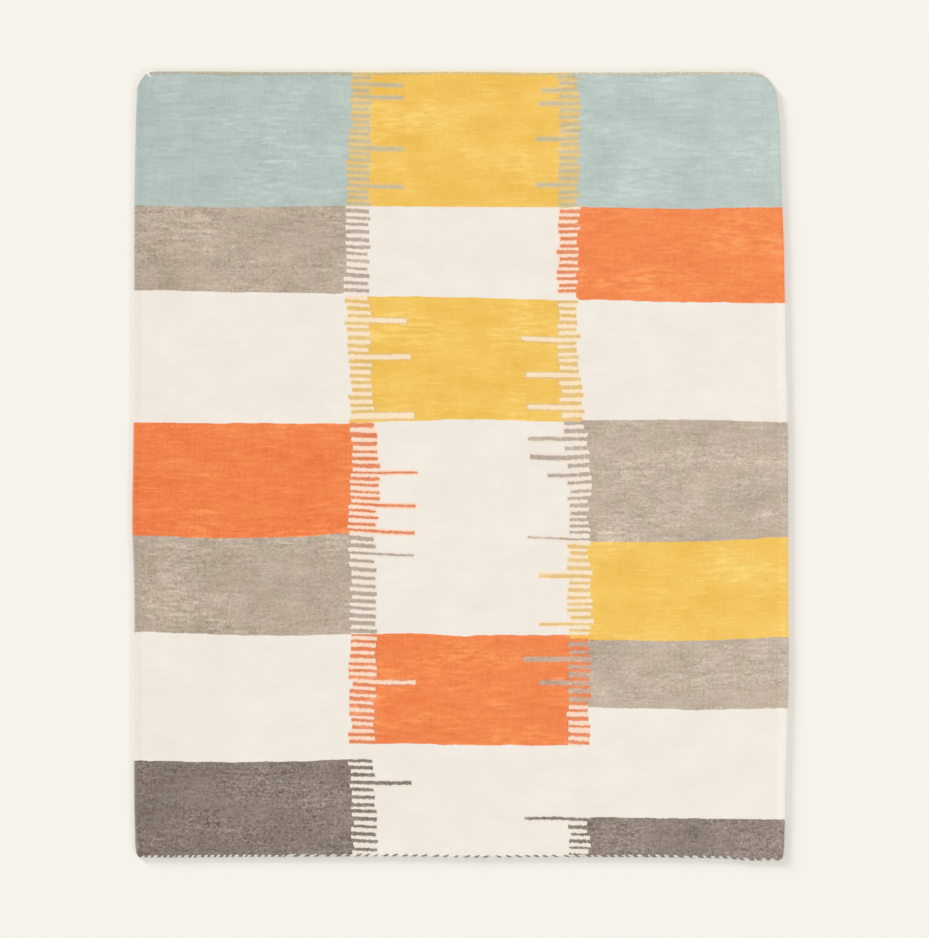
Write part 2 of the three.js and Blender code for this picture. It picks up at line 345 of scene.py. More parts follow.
across, up = [grid.ravel() for grid in np.meshgrid(across_stations, up_stations)]
top_points = np.column_stack([lay_flat(across, up), top_height(across, up)])
base_across = np.clip(across, BASE_SET_IN, WIDTH - BASE_SET_IN)
base_up = np.clip(up, BASE_SET_IN / 2, LENGTH - BASE_SET_IN / 2)
base_height = BASE_CLEARANCE + RIB_DEPTH * (1 - rib(across))
base_points = np.column_stack([lay_flat(base_across, base_up), base_height])
cloth.data.vertices.foreach_set("co", np.vstack([top_points, base_points]).astype(np.float32).ravel())
cloth.data.update()
bpy.ops.object.select_all(action="DESELECT")
cloth.select_set(True)
bpy.context.view_layer.objects.active = cloth
bpy.ops.object.shade_smooth()
print("cloth from", top_points.min(0).round(4), "to", top_points.max(0).round(4))

# %% [markdown]
# The pattern is woven in along the wefts, and a weft sags and rises a little where the weaver beat it
# down unevenly. So the cloth gets a map of its own, in metres: how far across a point lies, counted in
# warps, and how high, counted in wefts. A second map spreads the same grid over a square, with a narrow
# margin for the rim, and serves only when the colours are baked to an image for the exported model.

# %% Weave map and bake map
# By the level of a weft: how much higher it lies at each of these places across the kilim, in millimetres
SAG_PLACES = [0, 232, 340, 450, 610, 690, 960, 1200, 1408]
SAG = {
    0: (0, 0, 0, 0, 0, 0, 0, 0, 0),
    88: (0, 0, 0, 1, 1, 1, 2, 0, -2),
    212: (-1, -5.5, -4.5, 0, 2, 0, 0, -2, -2),
    245: (-1, -4, -1, 3.5, 3.8, -0.5, -1.5, -3, -2),
    325: (1, -3, -1, 2, 0, -1, 1.5, -5, -1.5),
    475: (6.5, 0.5, -3, 1, 2.5, -2.5, 0.5, -1, 6.5),
    687: (4, -2.5, 1.5, 9, 5, 3, -4, -4.5, 7.5),
    938: (-1, -1, -2, -3, 2, 6, 1, 2.5, -4),
    1208: (10, 5, 2.5, 1.5, 0.5, -2, -9, -15.5, -17.5),
    1400: (1, -3.5, -0.5, 0, -1, -1.5, -2, -5, -1),
    1690: (0, 0, 0, 0, 0, 0, 0, 0, 0),
}
BAKE_MARGIN = 0.004


def weft_sag(across, height):
    """How much higher than its level a weft lies at these places."""
    levels = [level * MM for level in SAG]
    columns = np.array(list(SAG.values())).T * MM
    rises = [np.interp(height, levels, column) for column in columns]
    sag = rises[0].copy()
    for step in range(1, len(SAG_PLACES)):
        low, high = SAG_PLACES[step - 1] * MM, SAG_PLACES[step] * MM
        part = ease((across - low) / (high - low))
        sag = np.where(across > low, rises[step - 1] * (1 - part) + rises[step] * part, sag)
    return sag


corner_points = np.zeros(len(cloth.data.loops), dtype=np.int32)
cloth.data.loops.foreach_get("vertex_index", corner_points)
grid_size = len(across)
grid_point = corner_points % grid_size

height = top_points[:, 1] + LENGTH / 2
woven_up = height - weft_sag(across, height)
weave_map = cloth.data.uv_layers.new(name="Weave")
weave_places = np.column_stack([across[grid_point], woven_up[grid_point]])
weave_map.data.foreach_set("uv", weave_places.astype(np.float32).ravel())

bake_share = np.column_stack([across / WIDTH, up / LENGTH]) * (1 - 2 * BAKE_MARGIN) + BAKE_MARGIN
bake_places = bake_share[grid_point]
starts = np.array([face.loop_start for face in cloth.data.polygons])
counts = np.array([face.loop_total for face in cloth.data.polygons])
face_of_corner = np.repeat(np.arange(len(starts)), counts)
is_base = corner_points >= grid_size
base_share = np.add.reduceat(is_base.astype(float), starts) / counts
on_rim = (base_share[face_of_corner] > 0) & (base_share[face_of_corner] < 1)
outward = np.where(bake_places < BAKE_MARGIN * 1.01, -BAKE_MARGIN, 0)
outward = np.where(bake_places > 1 - BAKE_MARGIN * 1.01, BAKE_MARGIN, outward)
bake_places = np.where((on_rim & is_base)[:, None], bake_places + outward, bake_places)
bake_map = cloth.data.uv_layers.new(name="OFBake")
bake_map.data.foreach_set("uv", bake_places.astype(np.float32).ravel())
for spare in [layer for layer in cloth.data.uv_layers if layer.name not in ("Weave", "OFBake")]:
    cloth.data.uv_layers.remove(spare)
print("maps", [layer.name for layer in cloth.data.uv_layers], "rim corners", int((on_rim & is_base).sum()))

# %% [markdown]
# In a tapestry weave the face shows one small bead of wool over each warp and every second pick, and
# the beads of neighbouring warps are set off by half a row, as in brickwork. A colour can only change
# from one bead to the next. So the material first finds which bead a point is in, and everything about
# the pattern is then decided once for each bead. That gives the fine steps of the real colour joins for
# nothing.

# %% Beads of the weave
PICK = 1.85 * MM

wool, wool_shader = make_material("handspun wool tapestry weave")
tree = wool.node_tree
weave = add_node(tree, "UVMap", uv_map="Weave")
place = add_node(tree, "SeparateXYZ", [weave.outputs["UV"]])

warp_count = add_node(tree, "Math", [place.outputs["X"], WARP], operation="DIVIDE")
warp = add_node(tree, "Math", [warp_count], operation="FLOOR")
odd = add_node(tree, "Math", [warp, 2.0], operation="FLOORED_MODULO")
level_count = add_node(tree, "Math", [place.outputs["Y"], PICK], operation="DIVIDE")
pick_count = add_node(tree, "Math", [odd, 0.5, level_count], operation="MULTIPLY_ADD")
pick = add_node(tree, "Math", [pick_count], operation="FLOOR")
bead_x = add_node(tree, "Math", [warp_count], operation="FRACT")
bead_y = add_node(tree, "Math", [pick_count], operation="FRACT")

across_bead = add_node(tree, "Math", [warp, WARP, WARP / 2], operation="MULTIPLY_ADD")
pick_middle = add_node(tree, "Math", [odd, -0.5, pick], operation="MULTIPLY_ADD")
up_bead = add_node(tree, "Math", [pick_middle, PICK, PICK / 2], operation="MULTIPLY_ADD")
bead = add_node(tree, "CombineXYZ", {"X": warp, "Y": pick})
bead_place = add_node(tree, "CombineXYZ", {"X": across_bead, "Y": up_bead})
single = add_node(tree, "TexWhiteNoise", {"Vector": bead}, noise_dimensions="2D")
print("bead", round(WARP / MM, 3), "by", PICK / MM, "mm, and", len(tree.nodes), "nodes")

# %% [markdown]
# The weaver works from a plain chart: three columns of blocks, each with the height at which a new yarn
# starts. Every yarn has its own look. The cream is bleached and even, the greys are spun from mixed fleece
# and full of flecks, and the dyed yarns took the dye unevenly, which shows as streaks along the weft.

# %% Yarns and the chart of blocks
# "fleck" is how much the beads differ, "streak" how much stretches of a pick do, and with them the painted
# light and shade of the ribs and the lightening from the left to the right, "cloud" how uneven the dye is,
# "worn" how much of the yarn's pale core shows, "tint" how much of its neighbour's colour it takes on in a
# join and how much painted shade it gets there, and "dye" how strongly its red, green and blue change with
# the amount of dye
YARNS = {
    "cream": {
        "colour": "F3EBE0", "fleck": 0.02, "streak": 0.04, "cloud": 0.12, "worn": 0.0, "tint": 0.30,
        "dye": (0.5, 1.0, 1.1),
    },
    "sky": {
        "colour": "B8C6BF", "fleck": 0.14, "streak": 0.20, "cloud": 0.27, "worn": 0.20, "tint": 0.43,
        "dye": (1.1, 1.0, 1.05),
    },
    "mustard": {
        "colour": "F3C45B", "fleck": 0.11, "streak": 0.10, "cloud": 0.33, "worn": 0.26, "tint": 0.25,
        "dye": (0.45, 1.0, 3.2),
    },
    "orange": {
        "colour": "F3854B", "fleck": 0.40, "streak": 0.41, "cloud": 0.34, "worn": 0.60, "tint": 0.17,
        "dye": (0.3, 1.0, 1.4),
    },
    "taupe": {
        "colour": "BDAC9A", "fleck": 0.62, "streak": 0.33, "cloud": 0.45, "worn": 0.36, "tint": 0.14,
        "dye": (0.9, 1.0, 1.12),
    },
    "charcoal": {
        "colour": "8B7D73", "fleck": 1.33, "streak": 0.42, "cloud": 0.46, "worn": 0.45, "tint": 0.15,
        "dye": (0.9, 1.0, 1.0),
    },
}
# The blocks of each column from the bottom up: the height at which a block starts, in millimetres, the
# tooth of the comb from which its yarn is used, and the yarn
BLOCKS = {
    "left": [
        (0, 0, "charcoal"), (212, 14, "cream"), (481, 31, "taupe"), (690, 44, "orange"),
        (936, 60, "cream"), (1212, 77, "taupe"), (1400, 89, "sky"),
    ],
    "middle": [
        (0, 0, "cream"), (245, 0, "orange"), (481, 0, "cream"), (938, 0, "mustard"),
        (1206, 0, "cream"), (1400, 0, "mustard"),
    ],
    "right": [
        (0, 0, "charcoal"), (88, 6, "cream"), (325, 21, "taupe"), (470, 29, "mustard"),
        (684, 43, "taupe"), (941, 59, "cream"), (1208, 76, "orange"), (1400, 89, "sky"),
    ],
}
YARN_NUMBER = {name: number for number, name in enumerate(YARNS)}


def yarn_at(tree, column, position, by_tooth=False):
    """The number of the yarn at this height of a column, or in this tooth of its comb."""
    blocks = BLOCKS[column]
    number = YARN_NUMBER[blocks[0][2]]
    for below, (up, first_tooth, yarn) in zip(blocks, blocks[1:]):
        start = first_tooth if by_tooth else up * MM
        started = add_node(tree, "Math", [position, start], operation="GREATER_THAN")
        change = YARN_NUMBER[yarn] - YARN_NUMBER[below[2]]
        number = add_node(tree, "Math", [started, change, number], operation="MULTIPLY_ADD")
    return number


print({column: len(blocks) for column, blocks in BLOCKS.items()}, "blocks")

# %% [markdown]
# Nothing in handspun wool is quite even. Each kind of unevenness is a noise of its own, read once for a
# bead, with its own length along the weft and along the warps. The scale of each comes from the real
# thing: a streak is a few centimetres of one pick, and a band is what was woven with one length of
# yarn.

# %% Unevenness of the wool
# How many waves of each noise there are in a metre, across and up, how detailed they are, and how rough
# if that isn't the usual 0.5
NOISES = {
    # The line between two blocks, where the picks under it were beaten down unevenly
    "block_edge": {"waves": (20.0, 5.0), "detail": 2.0},
    # Streaks: stretches of a pick
    "streak": {"waves": (21.0, 128.0), "detail": 2.0},
    # Painted light and shade in faint lines along the warps, as where a rib stands a little higher or lower
    # than the next
    "rib_light_and_shade": {"waves": (0.8 / WARP, 12.0), "detail": 0.0},
    # Long bands along the weft, where the weaver went on with another length of yarn
    "band": {"waves": (2.5, 45.0), "detail": 1.0},
    # Clouds of uneven dye, longer along the weft
    "cloud": {"waves": (9.5, 13.5), "detail": 4.0, "roughness": 0.6},
    # Patches of wear
    "patch": {"waves": (5.0, 11.0), "detail": 2.0},
    # Strokes along the weft inside those patches
    "stroke": {"waves": (24.0, 120.0), "detail": 3.0},
    # Long thin stretches, in which the beads on every second warp are pale
    "dots": {"waves": (16.0, 190.0), "detail": 1.0},
}
noise = {}
for name, row in NOISES.items():
    spread = add_node(tree, "VectorMath", [bead_place, (*row["waves"], 1.0)], operation="MULTIPLY")
    noise[name] = add_node(
        tree, "TexNoise",
        {"Vector": spread, "Scale": 1.0, "Detail": row["detail"], "Roughness": row.get("roughness", 0.5)},
        noise_dimensions="2D",
    )
print(len(noise), "noises,", len(tree.nodes), "nodes")

# %% [markdown]
# At a join the yarn of the outer block passes round a warp a few centimetres inside the middle column,
# for about four picks, then the middle yarn comes back to the outer block for four, and so on. Here and
# there the weaver carried one of these teeth much further in. The two joins are mirror images, so one
# function makes both, with the distance measured from the kilim's nearer side. Teeth are counted from
# the bottom, and what is uneven about one, its thickness, its tip and the depth of the gap beside it,
# is drawn from its number.

# %% Comb joins
TOOTH_PITCH = 15.4 * MM
TOOTH_ROUNDING = 1.6 * MM
TIP_BLUNTNESS = 1.6
SLOPED_PART = 62 * MM
FRAY = 2.0 * MM
MINGLE_FULL = 2.5 * MM
MINGLE_END = 6.5 * MM
MOST_TEETH = 128
# How much single teeth and gaps differ, from the least to the most
TIP_JITTER = 7 * MM
BASE_JITTER = 9 * MM
HALF_JITTER = 1.6 * MM
MIDDLE_JITTER = 0.14
# How far the teeth wander up and down, in how many waves to a metre, and how far a block's edge does
WANDER = 5 * MM
WANDER_WAVES = (9.0, 20.0, 1.0)
EDGE_WANDER = 5 * MM
# Added to every slope in per cent, because a colour ramp holds no numbers below 0
SLOPE_OFFSET = 10
# Rows of the height up from the bottom end, how many teeth there are below, how far from the side the
# gaps and the teeth end, by how many per cent of its length a tooth slopes down, and how thick it is
COMBS = {
    "left": [
        (0, 0, 474, 525, 3, 7.4),
        (212, 13.6, 467, 518, 4, 7.4),
        (481, 31, 465, 521, 5, 7.4),
        (600, 38.5, 468, 520, 5, 7.4),
        (690, 43.9, 463, 521, 5, 7.4),
        (770, 49.45, 471, 529, 5, 7.4),
        (880, 56.9, 471, 528, 5, 7.4),
        (932, 59.5, 468, 520, 4, 7.4),
        (953, 60.5, 468, 517, 2, 7.4),
        (1080, 68.6, 463, 509, 4, 7.4),
        (1212, 77, 457, 508, 5, 7.4),
        (1400, 89.1, 462, 510, 5, 7.4),
        (1530, 98.7, 464, 511, 4, 7.4),
        (1560, 100.95, 470, 512, 4, 7.4),
        (1690, 110.6, 473, 514, 3, 7.4),
    ],
    "right": [
        (0, 0, 424, 466, -3, 6.6),
        (88, 5.9, 424, 467, -5, 6.6),
        (240, 15.3, 425, 470, -4, 8.8),
        (325, 20.55, 425, 472, -4, 8.8),
        (400, 24.9, 428, 475, -5, 7.4),
        (470, 29.1, 425, 473, -2, 7.4),
        (560, 35.4, 422, 471, -1, 7.4),
        (684, 43.1, 426, 471, -4, 7.4),
        (730, 46.5, 431, 471, 0, 7.4),
        (800, 51.0, 423, 470, 5, 7.4),
        (880, 55.35, 431, 478, 4, 7.4),
        (941, 58.8, 438, 484, 2, 7.4),
        (1070, 66.3, 448, 491, 0, 7.4),
        (1208, 75.3, 447, 490, -1, 7.4),
        (1300, 82.0, 446, 489, 0, 7.4),
        (1400, 89.1, 443, 486, 0, 7.4),
        (1545, 99.3, 438, 482, 2, 7.4),
        (1690, 109.3, 434, 478, 0, 7.4),
    ],
}
# The long teeth, from the bottom up: the number of each, how far from the kilim's side it reaches, and how
# thick it is
LONG_TEETH = {
    "left": [
        (10, 600, 7.5), (24, 606, 8), (41, 603, 5), (44, 606, 6), (48, 609, 6.5), (53, 612, 5),
        (60, 605, 10.7), (68, 597, 10), (73, 590, 9.5), (92, 585, 6.5), (98, 585, 8.5), (106, 585, 7.5),
        (108, 585, 7.5),
    ],
    "right": [
        (5, 564, 6.3), (23, 535, 8.5), (26, 569, 10.5), (31, 535, 5.5), (38, 535, 7.5), (43, 559, 4.5),
        (52, 516, 6.5), (54, 554, 8), (56, 558, 7), (60, 559, 9), (64, 562, 9), (69, 570, 9), (92, 534, 7.5),
        (99, 532, 7.5), (104, 524, 7.5), (106, 516, 7),
    ],
}


def fill_ramp(node, mode, stops):
    """The same colour ramp with this way from stop to stop and these stops, rows of (place, colour)."""
    ramp = node.color_ramp
    ramp.interpolation = mode
    while len(ramp.elements) < len(stops):
        ramp.elements.new(0.5)
    for element, (place_on_ramp, colour) in zip(ramp.elements, stops):
        element.position = place_on_ramp
        element.color = colour
    return node


def comb_join(tree, side, distance, height, fray, seed):
    """Whether the outer yarn lies here, whether it is the block itself, which tooth it is, and how close the
    other yarn of the join is, from 0 to 1."""
    rows = COMBS[side]
    shape_stops = [
        (up * MM / LENGTH, (gap_end * MM, tooth_end * MM, (slope + SLOPE_OFFSET) / 100, thick * MM / 2))
        for up, _, gap_end, tooth_end, slope, thick in rows
    ]
    count_stops = [(row[0] * MM / LENGTH, (row[1] / MOST_TEETH,) * 3 + (1,)) for row in rows]
    numbers = [number for number, _, _ in LONG_TEETH[side]]
    bounds = [0] + [(low + high) / 2 / MOST_TEETH for low, high in zip(numbers, numbers[1:])]
    long_stops = [
        (bound, (number / MOST_TEETH, reach * MM, (thick * MM - FRAY) / 2, 1))
        for bound, (number, reach, thick) in zip(bounds, LONG_TEETH[side])
    ]
    # Base, tip, slope and thickness at this height
    share_up = add_node(tree, "Math", [height, LENGTH], operation="DIVIDE")
    shape = fill_ramp(add_node(tree, "ValToRGB", [share_up]), "LINEAR", shape_stops)
    shape_parts = add_node(tree, "SeparateColor", [shape.outputs["Color"]])
    # A bead belongs to the tooth that starts at its height once the slope and a slight wander are undone
    slope = add_node(tree, "Math", [shape_parts.outputs["Blue"], SLOPE_OFFSET / 100], operation="SUBTRACT")
    beyond_base = add_node(tree, "Math", [distance, rows[0][2] * MM], operation="SUBTRACT")
    along_tooth = add_node(tree, "Math", [beyond_base, SLOPED_PART], operation="MINIMUM")
    unsloped = add_node(tree, "Math", [slope, along_tooth, height], operation="MULTIPLY_ADD")
    wander_place = add_node(tree, "CombineXYZ", {"X": distance, "Y": height, "Z": seed})
    wander_scaled = add_node(tree, "VectorMath", [wander_place, WANDER_WAVES], operation="MULTIPLY")
    wander = add_node(
        tree, "TexNoise", {"Vector": wander_scaled, "Scale": 1.0, "Detail": 0.0}, noise_dimensions="3D"
    )
    wandered = add_node(tree, "Math", [wander, WANDER, unsloped], operation="MULTIPLY_ADD")
    level = add_node(tree, "Math", [wandered, 1 / LENGTH, -WANDER / 2 / LENGTH], operation="MULTIPLY_ADD")
    counting = fill_ramp(add_node(tree, "ValToRGB", [level]), "LINEAR", count_stops)
    count_share = add_node(tree, "SeparateColor", [counting.outputs["Color"]])
    count = add_node(tree, "Math", [count_share.outputs["Red"], MOST_TEETH], operation="MULTIPLY")
    tooth = add_node(tree, "Math", [count], operation="FLOOR")
    gap = add_node(tree, "Math", [count], operation="ROUND")
    tooth_middle = add_node(tree, "Math", [tooth, 0.5], operation="ADD")
    # Random shares for this tooth and for the gap beside it
    tooth_key = add_node(tree, "CombineXYZ", {"X": tooth, "Y": seed})
    gap_key = add_node(tree, "CombineXYZ", {"X": gap, "Y": seed + 0.5})
    tooth_random = add_node(tree, "TexWhiteNoise", {"Vector": tooth_key}, noise_dimensions="2D")
    gap_random = add_node(tree, "TexWhiteNoise", {"Vector": gap_key}, noise_dimensions="2D")
    tooth_shares = add_node(tree, "SeparateColor", [tooth_random.outputs["Color"]])
    # The row of the next long tooth, and whether this tooth is that one
    tooth_share = add_node(tree, "Math", [tooth_middle, MOST_TEETH], operation="DIVIDE")
    long_shape = fill_ramp(add_node(tree, "ValToRGB", [tooth_share]), "CONSTANT", long_stops)
    long_parts = add_node(tree, "SeparateColor", [long_shape.outputs["Color"]])
    long_middle = add_node(tree, "Math", [long_parts.outputs["Red"], 0.5 / MOST_TEETH], operation="ADD")
    is_long = add_node(tree, "Math", [tooth_share, long_middle, 0.25 / MOST_TEETH], operation="COMPARE")
    uneven_tip = add_node(
        tree, "Math",
        [tooth_shares.outputs["Red"], TIP_JITTER, shape_parts.outputs["Green"]], operation="MULTIPLY_ADD",
    )
    usual_tip = add_node(tree, "Math", [uneven_tip, TIP_JITTER / 2], operation="SUBTRACT")
    tip = add_node(
        tree, "Mix",
        {"Factor": is_long, "A": usual_tip, "B": long_parts.outputs["Green"]}, data_type="FLOAT",
    )
    uneven_base = add_node(
        tree, "Math",
        [gap_random.outputs["Value"], BASE_JITTER, shape_parts.outputs["Red"]], operation="MULTIPLY_ADD",
    )
    base = add_node(tree, "Math", [uneven_base, BASE_JITTER / 2], operation="SUBTRACT")
    # The tooth is a bar with rounded corners: how far outside its edge does this bead lie?
    least_half = add_node(
        tree, "Math", [shape.outputs["Alpha"], (HALF_JITTER + FRAY) / 2], operation="SUBTRACT"
    )
    usual_half = add_node(
        tree, "Math", [tooth_shares.outputs["Green"], HALF_JITTER, least_half], operation="MULTIPLY_ADD"
    )
    half_width = add_node(
        tree, "Mix",
        {"Factor": is_long, "A": usual_half, "B": long_parts.outputs["Blue"]}, data_type="FLOAT",
    )
    middle_shift = add_node(
        tree, "Math",
        [tooth_shares.outputs["Blue"], MIDDLE_JITTER, -MIDDLE_JITTER / 2], operation="MULTIPLY_ADD",
    )
    shifted_middle = add_node(tree, "Math", [tooth_middle, middle_shift], operation="ADD")
    off_middle = add_node(tree, "Math", [count, shifted_middle], operation="SUBTRACT")
    off_by = add_node(tree, "Math", [off_middle], operation="ABSOLUTE")
    from_middle = add_node(tree, "Math", [off_by, TOOTH_PITCH, TOOTH_ROUNDING], operation="MULTIPLY_ADD")
    frayed_half = add_node(tree, "Math", [fray, FRAY, half_width], operation="MULTIPLY_ADD")
    beyond_side = add_node(tree, "Math", [from_middle, frayed_half], operation="SUBTRACT")
    beyond_tip = add_node(tree, "Math", [distance, tip], operation="SUBTRACT")
    tip_part = add_node(
        tree, "Math", [beyond_tip, TIP_BLUNTNESS, TOOTH_ROUNDING], operation="MULTIPLY_ADD"
    )
    corner = add_node(tree, "CombineXYZ", {"X": tip_part, "Y": beyond_side})
    outside_parts = add_node(tree, "VectorMath", [corner, (0, 0, 0)], operation="MAXIMUM")
    outside = add_node(tree, "VectorMath", [outside_parts], operation="LENGTH")
    on_tooth = add_node(tree, "Math", [outside.outputs["Value"], TOOTH_ROUNDING], operation="LESS_THAN")
    on_block = add_node(tree, "Math", [distance, base], operation="LESS_THAN")
    is_outer = add_node(tree, "Math", [on_tooth, on_block], operation="MAXIMUM")
    from_tooth = add_node(tree, "Math", [outside.outputs["Value"], TOOTH_ROUNDING], operation="SUBTRACT")
    far = add_node(tree, "Math", [from_tooth, on_block], operation="MAXIMUM")
    close = add_node(
        tree, "MapRange",
        {"Value": far, "From Min": MINGLE_FULL, "From Max": MINGLE_END, "To Min": 1.0, "To Max": 0.0},
    )
    return is_outer, on_block, tooth_middle, close


from_right = add_node(tree, "Math", [WIDTH, across_bead], operation="SUBTRACT")
# The line between two blocks isn't quite straight
edge_shift = add_node(
    tree, "Math", [noise["block_edge"], EDGE_WANDER, -EDGE_WANDER / 2], operation="MULTIPLY_ADD"
)
level_here = add_node(tree, "Math", [up_bead, edge_shift], operation="ADD")

middle_yarn = yarn_at(tree, "middle", level_here)
found = []
for side, distance, seed in (("left", across_bead, 3.0), ("right", from_right, 8.0)):
    is_outer, on_block, tooth_middle, close = comb_join(tree, side, distance, up_bead, single, seed)
    outer_yarn = add_node(
        tree, "Mix",
        {
            "Factor": on_block,
            "A": yarn_at(tree, side, tooth_middle, by_tooth=True),
            "B": yarn_at(tree, side, level_here),
        },
        data_type="FLOAT",
    )
    found.append({"outer": outer_yarn, "is_outer": is_outer, "close": close})
# Each half of the kilim has one join, so everything is taken from the join on this side
on_right = add_node(tree, "Math", [across_bead, WIDTH / 2], operation="GREATER_THAN")
join = {
    key: add_node(
        tree, "Mix", {"Factor": on_right, "A": found[0][key], "B": found[1][key]}, data_type="FLOAT"
    )
    for key in ("outer", "is_outer", "close")
}
yarn_number = add_node(
    tree, "Mix", {"Factor": join["is_outer"], "A": middle_yarn, "B": join["outer"]}, data_type="FLOAT"
)
other_number = add_node(
    tree, "Mix", {"Factor": join["is_outer"], "A": join["outer"], "B": middle_yarn}, data_type="FLOAT"
)
print("pattern done,", len(tree.nodes), "nodes")

# %% [markdown]
# Now the yarn numbers become wool. One ramp turns the number into the yarn's colour and another into
# its character, and the character says how strongly each kind of unevenness shows. Flecks differ from
# bead to bead, streaks run along the weft, clouds are where the dye took unevenly, and worn places show
# the pale core of the yarn, here and there as a dotted line of beads on every second warp.

# %% Colour of the wool
LIGHTNESS = (0.2126, 0.7152, 0.0722)
JOIN_SHADE = 0.17
EDGE_GREY_WIDTH = 9 * MM
# The share of beads that are plain, how much the others stand out, and how much every bead differs
# beside its group
PLAIN_BEADS = 0.95
BRIGHT_BY = 0.15
SINGLE_BEADS = 0.35
FLECK_MEAN = 0.68
# How strong the painted light and shade of the ribs, the bands and the lightening from the left to the right
# are beside the streaks
RIB_LIGHT_AND_SHADE = 0.35
WEFT_BANDS = 0.35
LEFT_TO_RIGHT_LIGHTENING = 0.5
HUE_OF_CLOUDS = 0.12
PALER_WHERE_WORN = 0.8
DYE_RANGE = 4
WHITEST_WOOL = (0.97, 0.97, 0.97)

number_share, other_share = [
    add_node(tree, "Math", [number, 1 / len(YARNS), 0.5 / len(YARNS)], operation="MULTIPLY_ADD")
    for number in (yarn_number, other_number)
]
yarn_starts = [number / len(YARNS) for number in range(len(YARNS))]
colours = [linear(yarn["colour"])[:3] + [yarn["tint"]] for yarn in YARNS.values()]
characters = [(yarn["fleck"] / 2, yarn["streak"], yarn["cloud"], yarn["worn"]) for yarn in YARNS.values()]
dyes = [[part / DYE_RANGE for part in yarn["dye"]] + [1] for yarn in YARNS.values()]
own_colour, other_colour, character, dye = [
    fill_ramp(add_node(tree, "ValToRGB", [share]), "CONSTANT", list(zip(yarn_starts, looks)))
    for share, looks in (
        (number_share, colours), (other_share, colours), (number_share, characters), (number_share, dyes),
    )
]
character_parts = add_node(tree, "SeparateColor", [character.outputs["Color"]])

# In a join, loose fibres of one yarn lie over the other: they tint it, and leave it as light or dark as
# it is
own_lightness, other_lightness = [
    add_node(tree, "VectorMath", [ramp.outputs["Color"], LIGHTNESS], operation="DOT_PRODUCT")
    for ramp in (own_colour, other_colour)
]
lightness_ratio = add_node(
    tree, "Math", [own_lightness.outputs["Value"], other_lightness.outputs["Value"]], operation="DIVIDE"
)
tint = add_node(
    tree, "VectorMath", {0: other_colour.outputs["Color"], "Scale": lightness_ratio}, operation="SCALE"
)
same_yarn = add_node(tree, "Math", [yarn_number, other_number, 0.5], operation="COMPARE")
near = add_node(tree, "Math", [join["close"], same_yarn], operation="SUBTRACT", use_clamp=True)
mingling = add_node(tree, "Math", [near, own_colour.outputs["Alpha"]], operation="MULTIPLY")
tinted = add_node(
    tree, "Mix", {"Factor": mingling, 4: own_colour.outputs["Color"], 5: tint}, data_type="VECTOR"
)

# Mixed fleece: groups of beads, and single beads
group_place = add_node(tree, "VectorMath", [bead, (0.28, 0.4, 1.0)], operation="MULTIPLY")
group = add_node(
    tree, "TexNoise",
    {"Vector": group_place, "Scale": 1.0, "Detail": 1.5, "Distortion": 0.8}, noise_dimensions="2D",
)
bright = add_node(tree, "Math", [single, PLAIN_BEADS], operation="GREATER_THAN")
group_and_single = add_node(tree, "Math", [single, SINGLE_BEADS, group], operation="MULTIPLY_ADD")
fleck = add_node(tree, "Math", [bright, BRIGHT_BY, group_and_single], operation="MULTIPLY_ADD")
# Streaks, the painted light and shade of the ribs, and bands, with the wool growing lighter from the left to
# the right
streak_or_line = add_node(
    # The warp lines are painted light and shade of ribs standing higher or lower
    tree, "Math", [noise["rib_light_and_shade"], RIB_LIGHT_AND_SHADE, noise["streak"]], operation="MULTIPLY_ADD"
)
streak_line_or_band = add_node(
    tree, "Math", [noise["band"], WEFT_BANDS, streak_or_line], operation="MULTIPLY_ADD"
)
drifted = add_node(
    tree, "Math", [across_bead, LEFT_TO_RIGHT_LIGHTENING / WIDTH, streak_line_or_band], operation="MULTIPLY_ADD"
)

# Flecks are stronger in the patches of wear
fleck_strength = add_node(
    tree, "MapRange",
    {"Value": noise["patch"], "From Min": 0.35, "From Max": 0.65, "To Min": 1.4, "To Max": 2.6},
)

# Worn places are the strokes inside the patches
in_patch = add_node(tree, "MapRange", {"Value": noise["patch"], "From Min": 0.48, "From Max": 0.68})
on_stroke = add_node(tree, "MapRange", {"Value": noise["stroke"], "From Min": 0.42, "From Max": 0.72})
worn_here = add_node(tree, "Math", [in_patch, on_stroke], operation="MULTIPLY")
dots_here = add_node(tree, "MapRange", {"Value": noise["dots"], "From Min": 0.67, "From Max": 0.75})
worn_or_dotted = add_node(tree, "Math", [dots_here, odd, worn_here], operation="MULTIPLY_ADD")
pale = add_node(
    tree, "Math", [worn_or_dotted, character.outputs["Alpha"]], operation="MULTIPLY", use_clamp=True
)

# Each kind is centred on 0, weighed by the yarn's character, and added up around 1
fleck_share = add_node(
    tree, "Math", [character_parts.outputs["Red"], fleck_strength], operation="MULTIPLY"
)
tone = 1.0
for kind, mean, share in (
    (fleck, FLECK_MEAN, fleck_share),
    (drifted, (1 + RIB_LIGHT_AND_SHADE + WEFT_BANDS + LEFT_TO_RIGHT_LIGHTENING) / 2, character_parts.outputs["Green"]),
    (noise["cloud"], 0.5, character_parts.outputs["Blue"]),
):
    centred = add_node(tree, "Math", [kind, mean], operation="SUBTRACT")
    tone = add_node(tree, "Math", [centred, share, tone], operation="MULTIPLY_ADD")
tone = add_node(tree, "Math", [pale, PALER_WHERE_WORN, tone], operation="MULTIPLY_ADD")
# A cloud also differs a little in hue
hue_share = add_node(tree, "Math", [character_parts.outputs["Blue"], HUE_OF_CLOUDS], operation="MULTIPLY")
tone_below = add_node(tree, "Math", [hue_share, -0.5, tone], operation="MULTIPLY_ADD")
tones = add_node(
    tree, "VectorMath", [noise["cloud"].outputs["Color"], hue_share, tone_below], operation="MULTIPLY_ADD"
)
